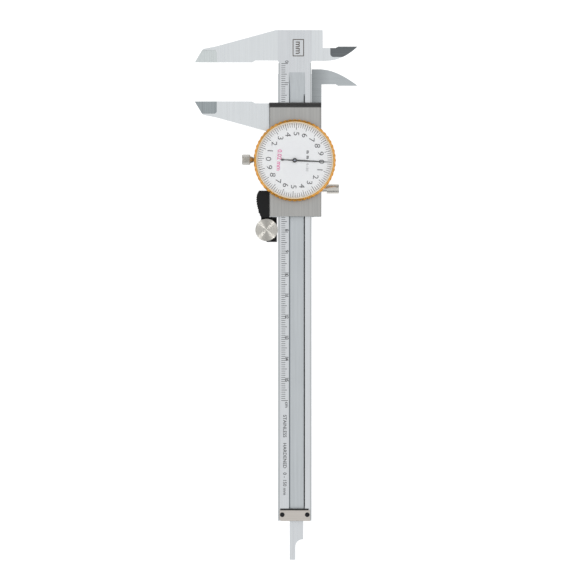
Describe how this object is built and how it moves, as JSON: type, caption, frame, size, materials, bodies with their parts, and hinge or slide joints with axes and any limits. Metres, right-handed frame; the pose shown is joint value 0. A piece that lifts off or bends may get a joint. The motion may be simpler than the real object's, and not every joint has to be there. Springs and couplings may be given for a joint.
{
  "type": "dial caliper",
  "caption": "Dial caliper with outside jaws, inside jaws, depth blade, thumb roller, lock screw and a turning bezel round a graduated dial.",
  "frame": {"origin": "where the dial's axis meets the slider's flat back face, on which the caliper lies", "axes": "+X towards the inside jaws, +Y along the beam towards the head, +Z out of the dial"},
  "size_m": [0.0773, 0.2517, 0.0136],
  "materials": {
    "ground_steel": "fine ground, satin",
    "rack_steel": "dark, oiled",
    "cover_steel": "brushed lengthwise",
    "black_plastic": "moulded, matt",
    "black_rubber": "matt",
    "nickel": "dull nickel plate",
    "screw_steel": "bright",
    "black_steel": "black oxide",
    "spring_steel": "blued",
    "case_metal": "satin",
    "brass": "turned",
    "arbor_steel": "polished",
    "gold_bezel": "amber anodised",
    "clear": "polished, clear",
    "cream_plastic": "smooth",
    "dial_white": "satin white",
    "hand_black": "satin black",
    "hub_metal": "polished"
  },
  "bodies": {
    "beam": {"beam": "ground_steel", "rack": "rack_steel", "end_stop_plate": "cover_steel", "end_stop_bumper": "black_rubber", "end_stop_screws": "black_steel"},
    "slider": {"slider_body": "ground_steel", "cover_plate": "cover_steel", "wiper_strip": "black_plastic", "cover_screws": "screw_steel", "gib_strip": "brass", "gib_screws": "black_steel", "depth_blade": "ground_steel", "depth_blade_screws": "screw_steel", "thumb_bracket": "black_plastic", "thumb_bracket_screws": "black_steel", "roller_axle": "nickel", "roller_clip": "black_steel", "dial_case": "case_metal", "case_screws": "screw_steel", "upper_bridge": "brass", "bridge_pillars": "brass", "bridge_screws": "screw_steel", "cover_bushes": "brass", "bridge_bushes": "brass", "bezel_spring_ring": "spring_steel", "bezel_clamp_lug": "case_metal", "bezel_clamp_lug_screw": "screw_steel", "hairspring": "spring_steel"},
    "bezel": {"bezel_ring": "gold_bezel", "crystal": "clear", "crystal_gasket": "cream_plastic", "dial_face": "dial_white"},
    "drive_shaft": {"rack_pinion": "brass", "drive_wheel": "brass", "drive_arbor": "arbor_steel"},
    "pointer_shaft": {"pointer_pinion": "arbor_steel", "pointer": "hand_black", "pointer_hub": "hand_black"},
    "return_shaft": {"return_wheel": "brass", "return_arbor": "arbor_steel"},
    "thumb_roller": {"thumb_roller": "nickel"},
    "lock_screw": {"lock_screw": "nickel"},
    "bezel_screw": {"bezel_screw": "nickel"}
  },
  "joints": [
    {"name": "slider_slide", "type": "slide", "parent": "beam", "child": "slider", "axis": [0, -1, 0], "range_m": [-0.0186, 0.1314]},
    {"name": "rack_pinion_spin", "type": "hinge", "parent": "slider", "child": "drive_shaft", "pos_m": [0.0029, 0.00852, 0.006], "axis": [0, 0, 1], "range_deg": [-670, 4731]},
    {"name": "pointer_spin", "type": "hinge", "parent": "slider", "child": "pointer_shaft", "pos_m": [0, 0, 0.009], "axis": [0, 0, 1], "range_deg": [-23653, 3349]},
    {"name": "return_wheel_spin", "type": "hinge", "parent": "slider", "child": "return_shaft", "pos_m": [-0.0029, -0.00852, 0.009], "axis": [0, 0, 1], "range_deg": [-670, 4731]},
    {"name": "thumb_roller_spin", "type": "hinge", "parent": "slider", "child": "thumb_roller", "pos_m": [-0.0134, -0.0329, 0.004], "axis": [0, 0, 1], "range_deg": [-198, 1395]},
    {"name": "bezel_turn", "type": "hinge", "parent": "slider", "child": "bezel", "pos_m": [0, 0, 0.011], "axis": [0, 0, 1], "continuous": true},
    {"name": "lock_screw_turn", "type": "hinge", "parent": "slider", "child": "lock_screw", "pos_m": [0.018, -0.0134, 0.00255], "axis": [1, 0, 0], "range_deg": [-180, 360]},
    {"name": "bezel_screw_turn", "type": "hinge", "parent": "slider", "child": "bezel_screw", "pos_m": [-0.023, 0.0004, 0.006], "axis": [-1, 0, 0], "range_deg": [-180, 360]}
  ],
  "couplings": [
    {"joint": "rack_pinion_spin", "follows": "slider_slide", "rad_per_m": 628.32},
    {"joint": "pointer_spin", "follows": "slider_slide", "rad_per_m": -3141.6},
    {"joint": "return_wheel_spin", "follows": "slider_slide", "rad_per_m": 628.32},
    {"joint": "thumb_roller_spin", "follows": "slider_slide", "rad_per_m": 185.19}
  ]
}
